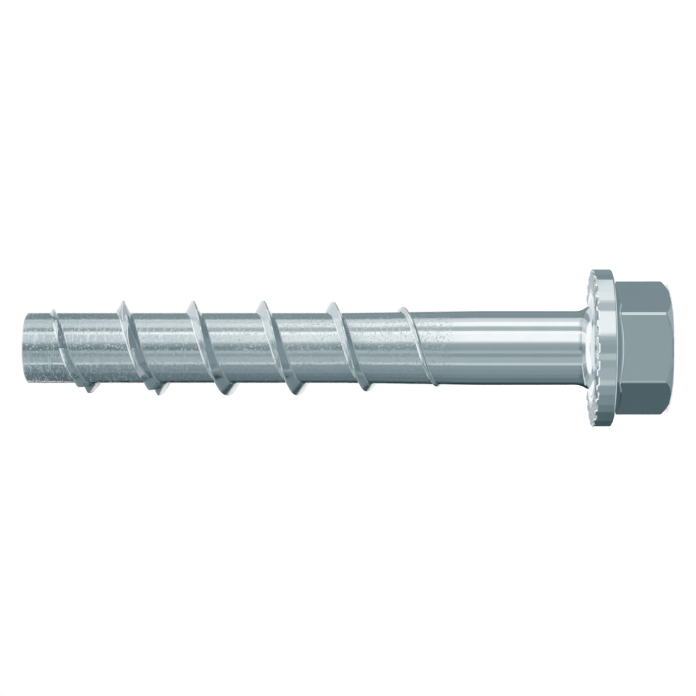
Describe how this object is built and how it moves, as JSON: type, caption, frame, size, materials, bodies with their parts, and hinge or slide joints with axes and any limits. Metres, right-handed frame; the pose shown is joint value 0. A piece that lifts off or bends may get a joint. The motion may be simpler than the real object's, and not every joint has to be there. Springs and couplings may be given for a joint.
{
  "type": "concrete screw",
  "caption": "Self-cutting concrete screw with a hexagon flange head, locking serrations under the flange and a coarse thread with saw teeth at its tip.",
  "frame": {"origin": "centre of the flat end face of the hexagon head, on the axis of the screw", "axes": "+Z along the axis of the screw, from the head to the tip; +X towards one corner of the hexagon, so that -Y looks out of one flat"},
  "size_m": [0.0203, 0.0204, 0.0821],
  "materials": {
    "zinc_plated_steel": "bright zinc plating, semi-gloss, bluish grey"
  },
  "bodies": {
    "root": {"concrete_screw": "zinc_plated_steel"}
  },
  "joints": []
}
